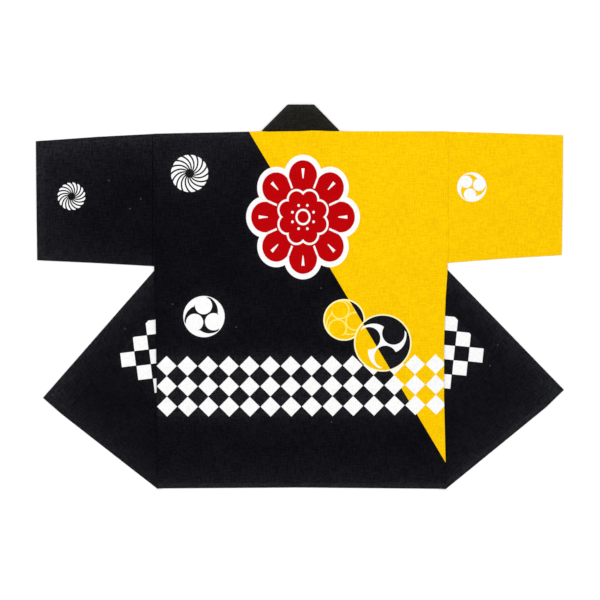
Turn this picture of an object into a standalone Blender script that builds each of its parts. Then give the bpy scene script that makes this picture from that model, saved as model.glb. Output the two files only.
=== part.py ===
"""Happi coat of plain cotton, laid flat with its back up, in metres.

The back panel lies on top. Each front panel runs under it from the side seam to a fold that climbs
from the hem corner to the neck. There the rest of the front is turned outward beneath, so that its
outside shows past the side seam as a triangle. The collar band is one strip: along each turned
front it lies on the floor, beside the neck it is doubled back, and behind the neck it stands above
the shoulder line. Left and right are the wearer's, at -X and +X, and +Y is towards the neck.
"""
from math import cos, pi, radians, sin

import bmesh
import bpy
from mathutils import Vector
from mathutils.geometry import delaunay_2d_cdt, intersect_point_line

CLOTH = 0.0012         # wall of the body and sleeve cotton
BAND = 0.0024          # wall of the collar band, which is folded double
LAY = 0.0004           # space between layers that lie on each other
SEAM = 0.0003          # space between two edges that are sewn together

NECK_Y = 0.3708        # the ends of the neck seam, on the shoulder line
NECK_RISE = 0.0022     # the seam bows up this far between them
BAND_WIDTH = 0.0602    # collar band, from its seam to its free edge
BAND_MIDDLE = 0.0020   # X of the collar's middle behind the neck
HEM_MIDDLE = (0.0014, -0.4293)  # the hem is a little higher between its corners

# Each side of the coat, in metres and degrees. X is measured outward from the middle.
#   neck      X of the point where the neck seam turns down the front edge
#   crease    X where the collar's slanting crease meets its free edge
#   shoulder  outer end of the shoulder seam, where the sleeve begins
#   side      points of the side seam between the shoulder and the hem
#   hem       corner of the hem at the side seam
#   front_hem hem of the front panel, up to its collar
#   turn      angle of the turned front's hem above the coat's own hem
#   edge      angle of the turned front's free edge to the hem
SIDES = {
    "left": dict(
        sign=-1, neck=0.0838, crease=0.0240, shoulder=(0.3272, 0.3657),
        side=[(0.3272, 0.0543), (0.3237, -0.0630), (0.3217, -0.2050)],
        hem=(0.3213, -0.4314), front_hem=0.2671, turn=37.95, edge=48.85),
    "right": dict(
        sign=1, neck=0.0872, crease=0.0286, shoulder=(0.3316, 0.3709),
        side=[(0.3312, 0.0520), (0.3273, -0.0030), (0.3240, -0.1000), (0.3238, -0.2250)],
        hem=(0.3287, -0.4323), front_hem=0.2859, turn=39.20, edge=45.90),
}

# Sleeve sections from the armhole to the cuff: the point on the top fold and on the underarm seam.
SLEEVES = {
    "left": [
        dict(top=(0.3275, 0.3657), under=(0.3275, 0.0678)),
        dict(top=(0.4532, 0.3590), under=(0.4532, 0.0748)),
        dict(top=(0.5932, 0.3491), under=(0.5901, 0.0812)),
    ],
    "right": [
        dict(top=(0.3319, 0.3709), under=(0.3319, 0.0753)),
        dict(top=(0.4615, 0.3669), under=(0.4615, 0.0852)),
        dict(top=(0.5914, 0.3626), under=(0.5887, 0.0931)),
    ],
}
SLEEVE_STEPS = 3       # sections between two rows of the table
LAYER_STEPS = 8        # faces across each layer of a sleeve
CUFF_GAPE = 0.0010     # how far the two layers part in the middle of the cuff

TUCK = 0.004           # the collar's corner on a fold stays this far below its edge at the neck
BEND_SHARE = 0.04      # place of the collar's bend on its seam, as a share of the turned stretch
ROLL = 0.006           # width that the flat cloth gives to the round of a fold
ROLL_STEPS = 6         # faces round a fold
MARGIN = 0.002         # a layer stays at full height this far past what it lies on
FALL = 0.008           # and then comes down over this distance
FOLD_MARGIN = 0.003    # the same past a front's fold, which is rounded
FOLD_FALL = 0.012
SEAM_FALL = 0.040      # reach of the lift that brings a panel to the middle of the collar's edge
CREASE_STEPS = 3       # crease lines across each fall, less one

BLACK = (0.006, 0.006, 0.009, 1.0)
YELLOW = (0.975, 0.603, 0.002, 1.0)


def level(layers):
    """Underside of what lies on this many thicknesses of collar band."""
    return layers * (BAND + LAY)


def left_of(direction):
    """A direction turned a quarter to its left."""
    return Vector((-direction.y, direction.x))


def meet(start, direction, other, heading):
    """The point where two lines cross."""
    span = direction.x * heading.y - direction.y * heading.x
    gap = other - start
    return start + direction * ((gap.x * heading.y - gap.y * heading.x) / span)


def inside(point, outline):
    """Whether a point lies in a closed outline, by counting the sides that it is left of."""
    found = False
    for a, b in zip(outline, outline[1:] + outline[:1]):
        if (a.y > point.y) != (b.y > point.y):
            if point.x < a.x + (b.x - a.x) * (point.y - a.y) / (b.y - a.y):
                found = not found
    return found


def distance(point, outline):
    """Distance from a point to an outline, 0 inside it. Two points make a plain line."""
    if len(outline) > 2 and inside(point, outline):
        return 0.0
    nearest = []
    for a, b in zip(outline, outline[1:] + outline[:1]):
        foot, share = intersect_point_line(point, a, b)
        foot = a if share < 0 else b if share > 1 else foot.xy
        nearest.append((point - foot).length)
    return min(nearest)


def cover(point, outline, margin, fall):
    """1 on an outline and up to a margin past it, then easing down to 0 over a fall."""
    share = (margin + fall - distance(point, outline)) / fall
    share = min(max(share, 0.0), 1.0)
    return share * share * (3 - 2 * share)


def steps(margin, fall):
    """Distances at which a sheet is creased so that it can come down smoothly."""
    return [margin + fall * i / CREASE_STEPS for i in range(CREASE_STEPS + 1)]


class Front:
    """Plan of one front panel and its half of the collar, with X outward from the middle."""

    def __init__(self, row):
        self.sign = row["sign"]
        self.hem = Vector(row["hem"])
        self.shoulder = Vector(row["shoulder"])
        self.side = [Vector(point) for point in row["side"]]
        self.neck = Vector((row["neck"], NECK_Y))
        self.crease = Vector((row["crease"], NECK_Y + BAND_WIDTH))

        turn = radians(row["turn"])
        self.turned_hem = Vector((cos(turn), sin(turn)))
        half = (pi + turn) / 2                     # the fold halves the angle between the two hems
        self.fold = Vector((cos(half), sin(half)))
        self.inward = left_of(self.fold)

        edge = radians(row["edge"])
        self.edge = Vector((-cos(edge), sin(edge)))
        self.band_hem = self.hem + self.turned_hem * row["front_hem"]
        self.tip = self.band_hem - left_of(self.edge) * BAND_WIDTH      # the band is cut square
        self.fold_seam = self.on_fold(BAND_WIDTH)

        # Beside the neck the band runs from the fold to the crease. Beyond the fold its free edge
        # starts as the mirror of that stretch, and then bends a little to run straight to the tip.
        down = (self.fold_seam - self.neck).normalized()
        self.fold_free = meet(self.crease, down, self.hem, self.fold)
        above = self.fold_free.y - self.crease.y + TUCK
        self.fold_free -= self.fold * max(above, 0.0) / self.fold.y
        mirrored = down - 2 * down.dot(self.inward) * self.inward
        self.bend_free = meet(self.tip, self.edge, self.fold_free, mirrored)
        self.bend_seam = self.fold_seam.lerp(self.band_hem, BEND_SHARE)

        self.laid_band = [self.band_hem, self.tip, self.bend_free, self.fold_free, self.fold_seam]
        self.laid_cloth = [self.hem, self.band_hem, self.fold_seam]
        self.neck_band = [self.neck, self.fold_seam, self.fold_free, self.crease]
        self.panel = [self.neck, self.shoulder, *self.side, self.hem, self.fold_seam]

    def on_turned_hem(self, inset):
        """Where a line parallel to the free edge crosses the turned hem."""
        return meet(self.tip + left_of(self.edge) * inset, self.edge, self.hem, self.turned_hem)

    def on_fold(self, inset):
        """Where a line parallel to the free edge crosses the fold."""
        return meet(self.tip + left_of(self.edge) * inset, self.edge, self.hem, self.fold)

    def rise(self, point):
        """Height of the front panel's underside, which lies on the turned part of the front."""
        seam_height = level(1) + (BAND - CLOTH) / 2
        return max(
            level(1) * cover(point, self.laid_band, MARGIN, FALL),
            (CLOTH + LAY) * cover(point, self.laid_cloth, MARGIN, FALL),
            seam_height * cover(point, [self.neck, self.fold_seam], 0.0, SEAM_FALL),
        )

    def top(self, point):
        """Height of a sheet's underside where it lies on this front and its collar."""
        past_fold = max((point - self.hem).dot(self.inward), 0.0)
        nearest = point - self.inward * past_fold
        panel = self.rise(nearest) + CLOTH + LAY
        return max(
            panel * cover(point, self.panel, FOLD_MARGIN, FOLD_FALL),
            level(2) * cover(point, self.neck_band, FOLD_MARGIN, FOLD_FALL),
        )

    def unfolded(self, point):
        """Where a point of the turned part was before it was turned under."""
        out = (point - self.hem).dot(self.inward)
        return point - self.inward * (2 * out - ROLL)

    def folded(self, point, height):
        """Where a point of the flat cloth goes, at a height over the cloth's own middle."""
        across = (point - self.hem).dot(self.inward)
        if across <= 0:
            return Vector((point.x, point.y, self.rise(point) + CLOTH / 2 + height))
        on_fold = point - self.inward * across
        if across >= ROLL:
            spot = on_fold - self.inward * (across - ROLL)
            return Vector((spot.x, spot.y, CLOTH / 2 - height))
        angle = pi * across / ROLL
        radius = self.rise(on_fold) / 2
        spot = on_fold + self.inward * (radius + height) * sin(angle)
        return Vector((spot.x, spot.y, CLOTH / 2 + radius + (radius + height) * cos(angle)))

    def creases(self):
        """Lines along which the panel, and the back over it, change height."""
        far = self.edge * -self.front_length()
        lines = []
        for out in steps(MARGIN, FALL):
            start = self.tip - left_of(self.edge) * out
            bend = self.bend_free - left_of(self.edge) * out
            upper = (self.fold_free - self.bend_free).normalized()
            lines.append([start, bend, meet(bend, upper, self.hem, self.fold)])
            inset = BAND_WIDTH + out
            lines.append([self.on_fold(inset) + far, self.on_fold(inset)])
        down = self.fold_seam - self.neck
        for out in steps(0.0, SEAM_FALL)[1:]:
            start = self.neck + Vector((out, 0.0))
            lines.append([start, meet(start, down, self.hem, self.fold)])
        for out in [0.0] + steps(FOLD_MARGIN, FOLD_FALL):
            across = self.fold_seam - self.fold * out
            lines.append([across - self.inward * FOLD_FALL, across])
        return lines

    def front_length(self):
        return (self.neck - self.hem).length

    def placed(self, points):
        """Plan points of this side in the coat's own axes."""
        return [Vector((self.sign * point.x, point.y)) for point in points]


def cut_cloth(outline, creases, wall):
    """A flat slab of cloth round Z = 0, with an edge in it along each crease."""
    points = list(outline)
    edges = [(i, (i + 1) % len(points)) for i in range(len(points))]
    for line in creases:
        first = len(points)
        points += line
        edges += [(first + i, first + i + 1) for i in range(len(line) - 1)]
    spots, _, faces, *_ = delaunay_2d_cdt(points, edges, [], 0, 1e-6)
    bm = bmesh.new()
    verts = [bm.verts.new((spot.x, spot.y, 0.0)) for spot in spots]
    for face in faces:
        middle = sum((spots[i] for i in face), Vector((0.0, 0.0))) / len(face)
        if inside(middle, outline):
            bm.faces.new([verts[i] for i in face])
    bmesh.ops.delete(bm, geom=[v for v in bm.verts if not v.link_faces], context="VERTS")
    bmesh.ops.remove_doubles(bm, verts=bm.verts, dist=SEAM)
    bmesh.ops.solidify(bm, geom=bm.faces[:], thickness=wall)
    middle = sum(v.co.z for v in bm.verts) / len(bm.verts)
    bmesh.ops.translate(bm, verts=bm.verts, vec=(0.0, 0.0, -middle))
    bmesh.ops.recalc_face_normals(bm, faces=bm.faces)
    return bm


def make_object(name, bm, colour):
    """An object with its own plain cotton material."""
    mesh = bpy.data.meshes.new(name)
    bm.to_mesh(mesh)
    bm.free()
    material = bpy.data.materials.new(name + "_cotton")
    material.use_nodes = True
    shader = material.node_tree.nodes["Principled BSDF"]
    shader.inputs["Base Color"].default_value = colour
    shader.inputs["Roughness"].default_value = 0.9
    shader.inputs["Metallic"].default_value = 0.0
    mesh.materials.append(material)
    made = bpy.data.objects.new(name, mesh)
    bpy.context.collection.objects.link(made)
    return made


def add_wall(made, thickness):
    """Gives a sheet its wall, half to each side."""
    wall = made.modifiers.new("wall", "SOLIDIFY")
    wall.thickness = thickness
    wall.offset = 0.0
    wall.use_even_offset = True


def make_back(fronts):
    left, right = fronts["left"], fronts["right"]

    def half(front):
        neck = front.neck - Vector((0.0, SEAM))
        return front.placed([neck, front.shoulder, *front.side, front.hem])

    outline = half(left) + [Vector(HEM_MIDDLE)] + half(right)[::-1]
    outline.append(Vector((BAND_MIDDLE, NECK_Y + NECK_RISE - SEAM)))
    neck_line = left.placed([left.neck]) + right.placed([right.neck])

    creases = []
    for front in fronts.values():
        past_fold = front.inward * (FOLD_MARGIN + FOLD_FALL)
        lines = [line + [line[-1] + past_fold] for line in front.creases()]
        for out in [0.0] + steps(FOLD_MARGIN, FOLD_FALL):
            foot = front.hem + front.inward * out
            lines.append([foot, foot + front.fold * front.front_length() * 2])
            start = front.neck + Vector((out, 0.0))
            lines.append([start, meet(start, front.fold_seam - front.neck, front.hem, front.fold)])
        creases += [front.placed(line) for line in lines]
    for out in steps(0.0, SEAM_FALL)[1:]:
        corners = [neck_line[0] + Vector((-out, 0.0)), neck_line[0] + Vector((-out, -out)),
                   neck_line[1] + Vector((out, -out)), neck_line[1] + Vector((out, 0.0))]
        creases.append(corners)

    bm = cut_cloth(outline, creases, CLOTH)
    for v in bm.verts:
        spot = v.co.xy
        rise = (level(2) + (BAND - CLOTH) / 2) * cover(spot, neck_line, 0.0, SEAM_FALL)
        for front in fronts.values():
            rise = max(rise, front.top(Vector((front.sign * spot.x, spot.y))))
        v.co.z += rise + CLOTH / 2
    make_object("back", bm, BLACK)


def make_front(name, front):
    inset = BAND_WIDTH + SEAM
    past_roll = front.inward * ROLL
    length = front.front_length()
    outline = [
        front.neck + Vector((SEAM, 0.0)), front.shoulder, *front.side, front.hem,
        front.hem + past_roll, front.unfolded(front.on_turned_hem(inset)),
        front.on_fold(inset) + past_roll, front.on_fold(inset),
    ]
    creases = [line + [line[-1] + past_roll] for line in front.creases()]
    for i in range(ROLL_STEPS + 1):
        row = front.hem + past_roll * i / ROLL_STEPS
        creases.append([row, row + front.fold * length])
    bm = cut_cloth(outline, creases, CLOTH)
    for v in bm.verts:
        v.co = front.folded(v.co.xy, v.co.z)
        v.co.x *= front.sign
    if front.sign < 0:
        bmesh.ops.reverse_faces(bm, faces=bm.faces)   # a mirrored slab is inside out
    make_object(name, bm, BLACK)


def band_ring(seam, free, normal, free_normal=None):
    """Corners of the band's section between a point of its seam and one of its free edge."""
    half = normal * BAND / 2
    free_half = (free_normal or normal) * BAND / 2
    return [seam - half, seam + half, free + free_half, free - free_half]


def band_rings(front):
    """Sections of one half of the collar, from the hem to the crease behind the neck."""
    up = Vector((0.0, 0.0, 1.0))
    raised = up * BAND / 2
    rings = []
    for seam, free in ((front.band_hem, front.tip), (front.bend_seam, front.bend_free)):
        rings.append(band_ring(seam.to_3d() + raised, free.to_3d() + raised, up))
    across_crease = left_of(front.neck - front.crease).normalized()
    level_edge = Vector((1.0 / across_crease.x, 0.0))   # keeps the free edge level round the crease
    turns = [
        (front.fold_seam, front.fold_free, front.inward, front.inward, 0, -1),
        (front.neck, front.crease, across_crease, level_edge, 1, 1),
    ]
    radius = (BAND + LAY) / 2
    for seam, free, out, free_out, below, face in turns:     # face: which way the outside looks
        centre = up * (level(below) + BAND / 2 + radius)
        for i in range(ROLL_STEPS + 1):
            angle = pi * i / ROLL_STEPS
            rays = [way.to_3d() * sin(angle) - up * cos(angle) for way in (out, free_out)]
            edges = [spot.to_3d() + centre + ray * radius for spot, ray in zip((seam, free), rays)]
            rings.append(band_ring(*edges, *[ray * face for ray in rays]))
    return [[Vector((front.sign * spot.x, spot.y, spot.z)) for spot in ring] for ring in rings]


def make_collar(fronts):
    seam = Vector((BAND_MIDDLE, NECK_Y + NECK_RISE, level(2) + BAND / 2))
    free = Vector((BAND_MIDDLE, NECK_Y + BAND_WIDTH, seam.z))
    middle = band_ring(seam, free, Vector((0.0, 0.0, 1.0)))
    rings = band_rings(fronts["left"]) + [middle] + band_rings(fronts["right"])[::-1]
    bm = bmesh.new()
    loops = [[bm.verts.new(spot) for spot in ring] for ring in rings]
    for loop, after in zip(loops, loops[1:]):
        for i in range(len(loop)):
            j = (i + 1) % len(loop)
            bm.faces.new((loop[j], loop[i], after[i], after[j]))
    bm.faces.new(loops[0])
    bm.faces.new(loops[-1][::-1])
    make_object("collar", bm, BLACK)


def sleeve_ring(top, under, gape):
    """Middle line of a flattened tube between its top fold and its underarm seam."""
    radius = (CLOTH + LAY) / 2
    along = (top - under).normalized()
    start = under + along * (radius + CLOTH / 2)
    end = top - along * (radius + CLOTH / 2)
    floor = CLOTH / 2
    ring = []
    for i in range(LAYER_STEPS):
        spot = start.lerp(end, i / LAYER_STEPS)
        ring.append(Vector((spot.x, spot.y, floor)))
    for i in range(ROLL_STEPS):
        angle = pi * i / ROLL_STEPS
        spot = end + along * radius * sin(angle)
        ring.append(Vector((spot.x, spot.y, floor + radius * (1 - cos(angle)))))
    for i in range(LAYER_STEPS):
        share = i / LAYER_STEPS
        spot = end.lerp(start, share)
        ring.append(Vector((spot.x, spot.y, floor + 2 * radius + gape * sin(pi * share) ** 2)))
    for i in range(ROLL_STEPS):
        angle = pi * i / ROLL_STEPS
        spot = start - along * radius * sin(angle)
        ring.append(Vector((spot.x, spot.y, floor + radius * (1 + cos(angle)))))
    return ring


def make_sleeve(name, sections, sign, colour):
    stations = []
    for near, far in zip(sections, sections[1:]):
        for i in range(SLEEVE_STEPS):
            share = i / SLEEVE_STEPS
            stations.append([Vector(near[key]).lerp(Vector(far[key]), share) for key in near])
    stations.append([Vector(spot) for spot in sections[-1].values()])
    bm = bmesh.new()
    rings = []
    for i, (top, under) in enumerate(stations):
        gape = CUFF_GAPE * i / (len(stations) - 1)
        ring = sleeve_ring(top, under, gape)
        rings.append([bm.verts.new((sign * spot.x, spot.y, spot.z)) for spot in ring])
    for ring, after in zip(rings, rings[1:]):
        for i in range(len(ring)):
            j = (i + 1) % len(ring)
            bm.faces.new((ring[i], ring[j], after[j], after[i]))
    add_wall(make_object(name, bm, colour), CLOTH)


def main():
    for old in list(bpy.data.objects):
        bpy.data.objects.remove(old, do_unlink=True)
    fronts = {name: Front(row) for name, row in SIDES.items()}
    make_back(fronts)
    for name, front in fronts.items():
        make_front("front_" + name, front)
    make_collar(fronts)
    for name, colour in (("left", BLACK), ("right", YELLOW)):
        make_sleeve("sleeve_" + name, SLEEVES[name], SIDES[name]["sign"], colour)


main()
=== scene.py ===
from math import atan2, ceil, cos, exp, pi, radians, sin, sqrt, tau

import bmesh
import bpy
from mathutils import Matrix, Vector, noise
from mathutils.bvhtree import BVHTree


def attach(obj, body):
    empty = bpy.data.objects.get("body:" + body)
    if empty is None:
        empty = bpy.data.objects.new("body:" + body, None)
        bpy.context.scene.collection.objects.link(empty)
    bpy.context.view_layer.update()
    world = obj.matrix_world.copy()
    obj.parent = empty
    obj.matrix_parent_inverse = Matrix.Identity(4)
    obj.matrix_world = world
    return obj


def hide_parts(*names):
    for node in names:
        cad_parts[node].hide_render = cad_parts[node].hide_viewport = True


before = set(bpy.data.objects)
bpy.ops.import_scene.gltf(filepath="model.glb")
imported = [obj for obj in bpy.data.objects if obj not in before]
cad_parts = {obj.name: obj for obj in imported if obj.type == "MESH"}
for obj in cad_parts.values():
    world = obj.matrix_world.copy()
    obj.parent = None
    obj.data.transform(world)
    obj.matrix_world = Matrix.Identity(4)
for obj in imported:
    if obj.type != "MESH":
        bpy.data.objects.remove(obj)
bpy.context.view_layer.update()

# A happi coat of printed cotton, laid flat with its back up. +Y is towards the neck, left is -X.
# Plans are in metres, prints in millimetres. Each piece of cloth keeps its cutting plan as a UV map
# named cloth, in metres, so that weave and print follow it round the folds.


# The plan of the coat, as the frame has it.
coat = dict(
    rim=0.0008,           # the cloth rounds off over this much at its edges
    wall=0.0012,          # the frame's cotton wall and band, which the cloth keeps to the middle of
    band=0.0024,
    lay=0.0004,           # between layers that lie on each other
    sewn=0.0004,          # how far sewn edges run into each other
    lap=0.0008,           # how much further the sleeves run under the back
    soft=0.0012,          # half of the slope at the edge of a hem or a seam allowance
    neckY=0.3708,
    # how far the neck seam stands above a straight line: it dips at the left, rises at the right
    neckLine=[(-0.0838, -0.0003), (-0.0740, -0.0011), (0.0020, -0.0001), (0.0280, 0.0012),
              (0.0400, 0.0011), (0.0700, -0.0003)],
    bandWidth=0.0602,
    bandMiddle=0.0020,
    hemMiddle=(0.0014, -0.4293),
    bendShare=0.04,       # where the band starts to bend, from the fold to the hem
    tuck=0.004,
    roll=0.006,           # width of flat cloth that goes into the round of a fold
    cloth=0.0010,         # wall of the cotton itself
)

# One row for each side, outward from the middle. The sleeve's sections run from the armhole to the
# cuff, each with its point on the top fold and its point under the arm; seamIn is how far out of
# the armhole the sleeve is sewn down.
sides = {
    "left": dict(
        sign=-1, neck=0.0838, crease=0.0240, shoulder=(0.3272, 0.3657),
        side=[(0.3272, 0.0543), (0.3237, -0.0630), (0.3217, -0.2050)],
        hem=(0.3213, -0.4314), frontHem=0.2671, turn=37.95, edge=48.85, seamIn=0.0034,
        sleeve=[
            ((0.3275, 0.3657), (0.3275, 0.0678)),
            ((0.4532, 0.3590), (0.4532, 0.0748)),
            ((0.5932, 0.3491), (0.5901, 0.0812)),
        ]),
    "right": dict(
        sign=1, neck=0.0872, crease=0.0286, shoulder=(0.3316, 0.3709),
        side=[(0.3312, 0.0520), (0.3273, -0.0030), (0.3240, -0.1000), (0.3238, -0.2250)],
        hem=(0.3287, -0.4323), frontHem=0.2859, turn=39.20, edge=45.90, seamIn=0.0019,
        sleeve=[
            ((0.3319, 0.3709), (0.3319, 0.0753)),
            ((0.4615, 0.3669), (0.4615, 0.0852)),
            ((0.5914, 0.3626), (0.5887, 0.0931)),
        ]),
}


def leftOf(direction):
    return Vector((-direction.y, direction.x))


def meet(start, direction, other, heading):
    # the point where two lines cross
    span = direction.x * heading.y - direction.y * heading.x
    gap = other - start
    return start + direction * ((gap.x * heading.y - gap.y * heading.x) / span)


def ease(share):
    share = min(max(share, 0.0), 1.0)
    return share * share * (3 - 2 * share)


class SidePlan:
    # one front, its half of the collar and its sleeve, with X outward from the middle of the coat

    def __init__(self, row):
        self.sign = row["sign"]
        self.hem = Vector(row["hem"])
        self.shoulder = Vector(row["shoulder"])
        self.side = [Vector(point) for point in row["side"]]
        self.neck = Vector((row["neck"], coat["neckY"]))
        self.crease = Vector((row["crease"], coat["neckY"] + coat["bandWidth"]))
        turn, edge = radians(row["turn"]), radians(row["edge"])
        half = (pi + turn) / 2
        self.turnedHem = Vector((cos(turn), sin(turn)))
        self.fold = Vector((cos(half), sin(half)))
        self.inward = leftOf(self.fold)
        self.edge = Vector((-cos(edge), sin(edge)))
        self.bandHem = self.hem + self.turnedHem * row["frontHem"]
        self.tip = self.bandHem - leftOf(self.edge) * coat["bandWidth"]
        self.foldSeam = self.onFold(coat["bandWidth"])
        down = (self.foldSeam - self.neck).normalized()
        self.foldFree = meet(self.crease, down, self.hem, self.fold)
        above = self.foldFree.y - self.crease.y + coat["tuck"]
        self.foldFree -= self.fold * max(above, 0.0) / self.fold.y
        mirrored = down - 2 * down.dot(self.inward) * self.inward
        self.bendFree = meet(self.tip, self.edge, self.foldFree, mirrored)
        self.bendSeam = self.foldSeam.lerp(self.bandHem, coat["bendShare"])
        self.seamX = max(self.shoulder.x, self.hem.x)
        self.topFold, self.underarm = [[Vector(p) for p in line] for line in zip(*row["sleeve"])]
        self.seamIn = row["seamIn"]

    def onTurnedHem(self, inset):
        return meet(self.tip + leftOf(self.edge) * inset, self.edge, self.hem, self.turnedHem)

    def onFold(self, inset):
        return meet(self.tip + leftOf(self.edge) * inset, self.edge, self.hem, self.fold)

    def across(self, point):
        # how far a point lies past the fold
        return (point - self.hem).dot(self.inward)

    def unfolded(self, point):
        return point - self.inward * (2 * self.across(point) - coat["roll"])

    def placed(self, points):
        # points of this side, where the coat has them
        return [Vector((self.sign * p.x, p.y)) for p in points]

    def untilSeam(self, start, direction, clear):
        # where a line on the turned front comes near the back's edge
        return meet(start, direction, Vector((self.seamX + clear, 0.0)), Vector((0.0, 1.0)))


plans = {name: SidePlan(row) for name, row in sides.items()}


def placesAlong(length, step, marks=()):
    # even steps along a length, and a row of the grid at each mark
    marks = sorted(marks)
    count = max(1, round(length / step))
    even = [length * i / count for i in range(count + 1)]
    kept = [p for p in even[1:-1] if all(abs(p - mark) > step * 0.3 for mark in marks)]
    return sorted([0.0, length] + kept + list(marks))


def gridOf(across, along):
    # a grid sheet whose columns and rows stand at the given places
    bm = bmesh.new()
    columns, rows = len(across) - 1, len(along) - 1
    bmesh.ops.create_grid(bm, x_segments=columns, y_segments=rows, size=0.5)
    for v in bm.verts:
        column = round((v.co.x + 0.5) * columns)
        row = round((v.co.y + 0.5) * rows)
        v.co = (across[column], along[row], 0.0)
    return bm


def lengthOf(line):
    return sum((b - a).length for a, b in zip(line, line[1:]))


def pointOn(line, share):
    # the point at a share of a bent line's length
    left = lengthOf(line) * share
    for a, b in zip(line, line[1:]):
        span = (b - a).length
        if left <= span:
            return a.lerp(b, left / span)
        left -= span
    return line[-1].copy()


def fitToEdges(bm, hem, top, start, end):
    # moves a grid of 1 x 1 onto a cut whose four edges are bent lines
    for v in bm.verts:
        u, w = v.co.x, v.co.y
        spot = pointOn(hem, u) * (1 - w) + pointOn(top, u) * w
        spot += pointOn(start, w) * (1 - u) + pointOn(end, w) * u
        spot -= (hem[0] * (1 - u) + hem[-1] * u) * (1 - w) + (top[0] * (1 - u) + top[-1] * u) * w
        v.co = spot.to_3d()


def keepPlan(bm, planOf=None):
    # writes the cutting plan into the UV map, before the cloth is folded
    layer = bm.loops.layers.uv.new("cloth")
    for face in bm.faces:
        for loop in face.loops:
            loop[layer].uv = planOf(loop.vert) if planOf else loop.vert.co.xy


def flatArea(bm):
    return sum(face.calc_area() for face in bm.faces)


def toSegment(point, a, b):
    # distance from a segment, and the share along it
    along = b - a
    share = min(max((point - a).dot(along) / along.length_squared, 0.0), 1.0)
    return (point - a - along * share).length, share


def creaseAt(creases, point):
    # how high the soft ridges stand here; each fades out at both ends
    height = 0.0
    for start, end, top, width in creases:
        away, share = toSegment(point, Vector(start), Vector(end))
        if away < 3 * width:
            height += top * exp(-(away / width) ** 2) * sin(pi * share) ** 0.7
    return height


def rippleAt(point, size, height, seed):
    return noise.noise(Vector((point.x / size, point.y / size, seed))) * height


def stepAt(place):
    # the two ends of the slope at the edge of a hem
    return [place - coat["soft"], place + coat["soft"]]


def laidOver(inside):
    # 1 on a doubled strip of cloth, 0 beyond it, by the distance inside its edge
    return ease((inside + coat["soft"]) / (2 * coat["soft"]))


# Heights are read from above, or where that misses, a little inside the nearest point.
probe = dict(above=1.0, nearTo=0.004, inside=0.0006)
fall = Vector((0.0, 0.0, -1.0))


def treeOf(nodeName):
    # the frame's own solid, to read the height of each layer from
    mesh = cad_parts[nodeName].data
    mesh.calc_loop_triangles()
    spots = [v.co.copy() for v in mesh.vertices]
    return BVHTree.FromPolygons(spots, [tuple(t.vertices) for t in mesh.loop_triangles])


def topAt(tree, point):
    # the height of the highest surface over a point of the plan, or of the nearest one
    hit = tree.ray_cast(Vector((point.x, point.y, probe["above"])), fall)[0]
    if hit is None:
        near = tree.find_nearest(Vector((point.x, point.y, probe["nearTo"])))[0]
        inward = (near - Vector((point.x, point.y, near.z))).normalized()
        inner = near + inward * probe["inside"]
        hit = tree.ray_cast(Vector((inner.x, inner.y, probe["above"])), fall)[0] or near
    return hit.z


def toObject(name, bm, materials):
    mesh = bpy.data.meshes.new(name)
    for face in bm.faces:
        face.smooth = True
    bm.to_mesh(mesh)
    bm.free()
    for material in materials:
        mesh.materials.append(material)
    made = bpy.data.objects.new(name, mesh)
    bpy.context.collection.objects.link(made)
    return made


def addWall(made):
    # the cotton's wall, half to each side, with its wrong side in the second material
    wall = made.modifiers.new("wall", "SOLIDIFY")
    wall.thickness = coat["cloth"]
    wall.offset = 0.0
    wall.use_even_offset = False
    wall.material_offset = 1
    wall.material_offset_rim = 0


def dressNode(nodeName, name, bm, materials, slotName, area, **sheet):
    # a piece of cloth in place of the frame's own solid
    made = toObject(name, bm, materials)
    if len(materials) > 1:
        addWall(made)
    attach(made, "root")
    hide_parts(nodeName)
    print(nodeName, len(made.data.polygons), "faces,", round(area, 4), "m2 flat")


def mathOf(operation, turned=False):
    # the method of Term that adds a Math node for a sum or product
    def applied(self, other):
        return self.maker.math(operation, *((other, self) if turned else (self, other)))

    return applied


class Term:
    # a value in a material: sums and products of it add their Math nodes

    def __init__(self, maker, socket):
        self.maker, self.socket = maker, socket

    __add__, __radd__ = mathOf("ADD"), mathOf("ADD", turned=True)
    __sub__, __rsub__ = mathOf("SUBTRACT"), mathOf("SUBTRACT", turned=True)
    __mul__, __rmul__ = mathOf("MULTIPLY"), mathOf("MULTIPLY", turned=True)
    __truediv__, __rtruediv__ = mathOf("DIVIDE"), mathOf("DIVIDE", turned=True)
    __mod__ = mathOf("FLOORED_MODULO")

    def __abs__(self):
        return self.maker.math("ABSOLUTE", self)


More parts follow.
